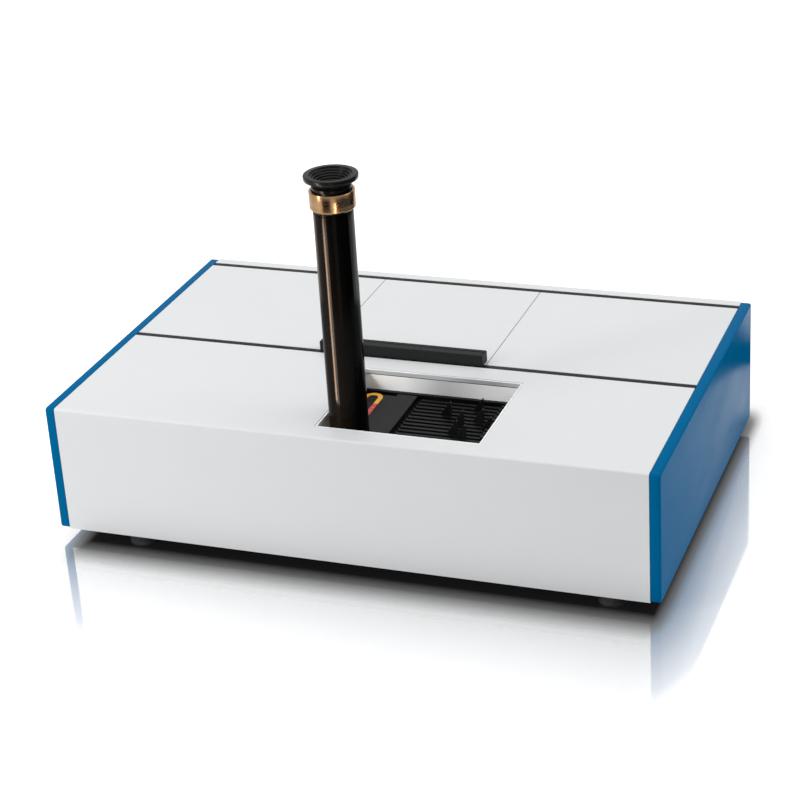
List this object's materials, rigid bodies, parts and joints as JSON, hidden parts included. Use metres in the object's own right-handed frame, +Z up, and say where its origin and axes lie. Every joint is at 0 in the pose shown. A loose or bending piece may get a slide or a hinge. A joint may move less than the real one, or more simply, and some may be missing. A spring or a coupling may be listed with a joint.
{
  "type": "benchtop colorimeter",
  "caption": "Low bench instrument that compares a sample's colour with glass filters on sliding racks, seen down an upright eyepiece tube; a hinged lid covers the sample chamber.",
  "frame": {"origin": "centre of the footprint, on the surface that the feet stand on", "axes": "+X to the right as the user faces the front, +Y to the back, +Z up"},
  "size_m": [0.52, 0.337, 0.3267],
  "materials": {
    "blue_side": "glossy blue, darker and greyer at a glancing angle",
    "body_paint": "fine satin off-white enamel",
    "plain_steel": "zinc plated sheet",
    "charcoal": "satin charcoal",
    "foot_rubber": "matt black rubber",
    "screw_steel": "zinc plated",
    "black_satin": "satin black paint",
    "bright_steel": "bright sheet, softly reflecting",
    "key_colours": "yellow at the back, then red, then blue",
    "clear_glass": "polished optical glass",
    "black_gloss": "polished black",
    "brass": "turned brass, lacquered",
    "eyecup_rubber": "matt moulded rubber",
    "lamp_glass": "clear bulb with a metal base",
    "white_reference": "matt white reference surface",
    "core_steel": "varnished laminations and a taped coil",
    "rack_black": "thin black slide",
    "neutral_glass": "grey graded glass",
    "blue_glass": "blue graded glass",
    "red_glass": "red graded glass",
    "yellow_glass": "yellow graded glass"
  },
  "bodies": {
    "case": {"side_panel_left": "blue_side", "side_panel_right": "blue_side", "front_cover": "body_paint", "deck_panel_left": "body_paint", "deck_panel_right": "body_paint", "rear_cover": "body_paint", "base_plate": "black_satin", "front_rail": "charcoal", "rear_rail": "charcoal", "feet": "foot_rubber", "case_screws": "screw_steel", "lid_hinge_brackets": "black_satin", "lid_hinge_pins": "screw_steel", "well_liner": "bright_steel", "comb_plate": "black_satin", "key_plate": "black_satin", "colour_key_ring": "key_colours", "cassette_frame": "black_satin", "prism_housing": "black_satin", "prism": "clear_glass", "viewing_tube": "black_gloss", "brass_collar": "brass", "chamber_box": "black_satin", "cell_trough": "black_satin", "lamp_bracket": "plain_steel", "lamps": "lamp_glass", "white_references": "white_reference", "transformer": "core_steel", "power_inlet": "black_gloss"},
    "lid": {"lid": "body_paint", "lid_handle": "charcoal", "lid_light_shield": "black_satin", "handle_screws": "screw_steel", "lid_hinge_arms": "black_satin"},
    "eyepiece": {"eyepiece_barrel": "brass", "eyepiece_lens": "clear_glass", "eyecup": "eyecup_rubber"},
    "rocker": {"switch_rocker": "black_gloss"},
    "rack_01": {"rack_01": "rack_black", "filters_01": "neutral_glass"},
    "rack_02": {"rack_02": "rack_black", "filters_02": "neutral_glass"},
    "rack_03": {"rack_03": "rack_black", "filters_03": "blue_glass"},
    "rack_04": {"rack_04": "rack_black", "filters_04": "blue_glass"},
    "rack_05": {"rack_05": "rack_black", "filters_05": "blue_glass"},
    "rack_06": {"rack_06": "rack_black", "filters_06": "red_glass"},
    "rack_07": {"rack_07": "rack_black", "filters_07": "red_glass"},
    "rack_08": {"rack_08": "rack_black", "filters_08": "red_glass"},
    "rack_09": {"rack_09": "rack_black", "filters_09": "yellow_glass"},
    "rack_10": {"rack_10": "rack_black", "filters_10": "yellow_glass"},
    "rack_11": {"rack_11": "rack_black", "filters_11": "yellow_glass"}
  },
  "joints": [
    {"name": "lid_hinge", "type": "hinge", "parent": "case", "child": "lid", "pos_m": [-0.00225, 0.1555, 0.119], "axis": [-1, 0, 0], "range_deg": [0, 95]},
    {"name": "focus_slide", "type": "slide", "parent": "case", "child": "eyepiece", "axis": [0, 0, 1], "range_m": [0, 0.006]},
    {"name": "rocker_pivot", "type": "hinge", "parent": "case", "child": "rocker", "pos_m": [-0.169, 0.1589, 0.062], "axis": [1, 0, 0], "range_deg": [0, 16]},
    {"name": "rack_01_slide", "type": "slide", "parent": "case", "child": "rack_01", "axis": [1, 0, 0], "range_m": [-0.0488, 0.0232]},
    {"name": "rack_02_slide", "type": "slide", "parent": "case", "child": "rack_02", "axis": [1, 0, 0], "range_m": [-0.0398, 0.0322]},
    {"name": "rack_03_slide", "type": "slide", "parent": "case", "child": "rack_03", "axis": [1, 0, 0], "range_m": [-0.072, 0]},
    {"name": "rack_04_slide", "type": "slide", "parent": "case", "child": "rack_04", "axis": [1, 0, 0], "range_m": [-0.0644, 0.0076]},
    {"name": "rack_05_slide", "type": "slide", "parent": "case", "child": "rack_05", "axis": [1, 0, 0], "range_m": [-0.0388, 0.0332]},
    {"name": "rack_06_slide", "type": "slide", "parent": "case", "child": "rack_06", "axis": [1, 0, 0], "range_m": [-0.0537, 0.0183]},
    {"name": "rack_07_slide", "type": "slide", "parent": "case", "child": "rack_07", "axis": [1, 0, 0], "range_m": [-0.0239, 0.0481]},
    {"name": "rack_08_slide", "type": "slide", "parent": "case", "child": "rack_08", "axis": [1, 0, 0], "range_m": [-0.072, 0]},
    {"name": "rack_09_slide", "type": "slide", "parent": "case", "child": "rack_09", "axis": [1, 0, 0], "range_m": [-0.0476, 0.0244]},
    {"name": "rack_10_slide", "type": "slide", "parent": "case", "child": "rack_10", "axis": [1, 0, 0], "range_m": [-0.072, 0]},
    {"name": "rack_11_slide", "type": "slide", "parent": "case", "child": "rack_11", "axis": [1, 0, 0], "range_m": [-0.072, 0]}
  ]
}
